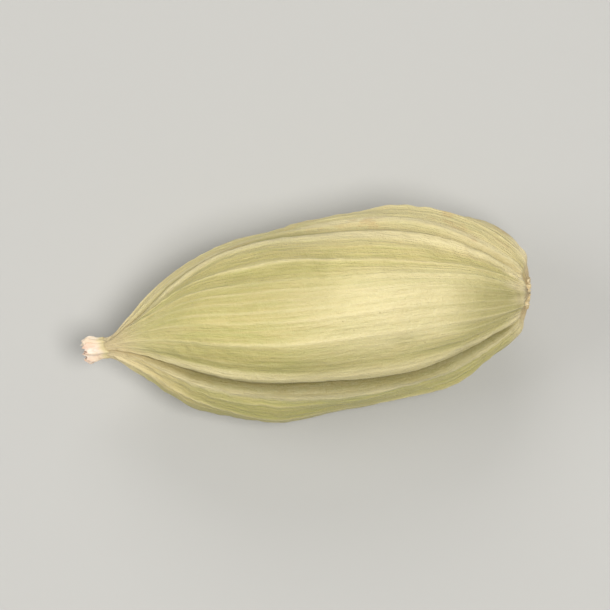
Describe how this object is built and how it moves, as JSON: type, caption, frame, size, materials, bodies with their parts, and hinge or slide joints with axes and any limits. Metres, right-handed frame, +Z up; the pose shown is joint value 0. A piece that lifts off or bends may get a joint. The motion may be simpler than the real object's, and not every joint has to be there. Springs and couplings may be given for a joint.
{
  "type": "green cardamom pod",
  "caption": "Dried three-lobed, ribbed spice capsule with a beak at one end and a stalk stub at the other, lying on two small flat spots.",
  "frame": {"origin": "on the ground, under the middle of the pod's bounding box", "axes": "+X along the pod from its beak to its stalk stub, +Y across it, +Z up from the ground"},
  "size_m": [0.0132, 0.0058, 0.0054],
  "materials": {
    "husk": "dry, papery, satin"
  },
  "bodies": {
    "root": {"cardamom_pod": "husk"}
  },
  "joints": []
}
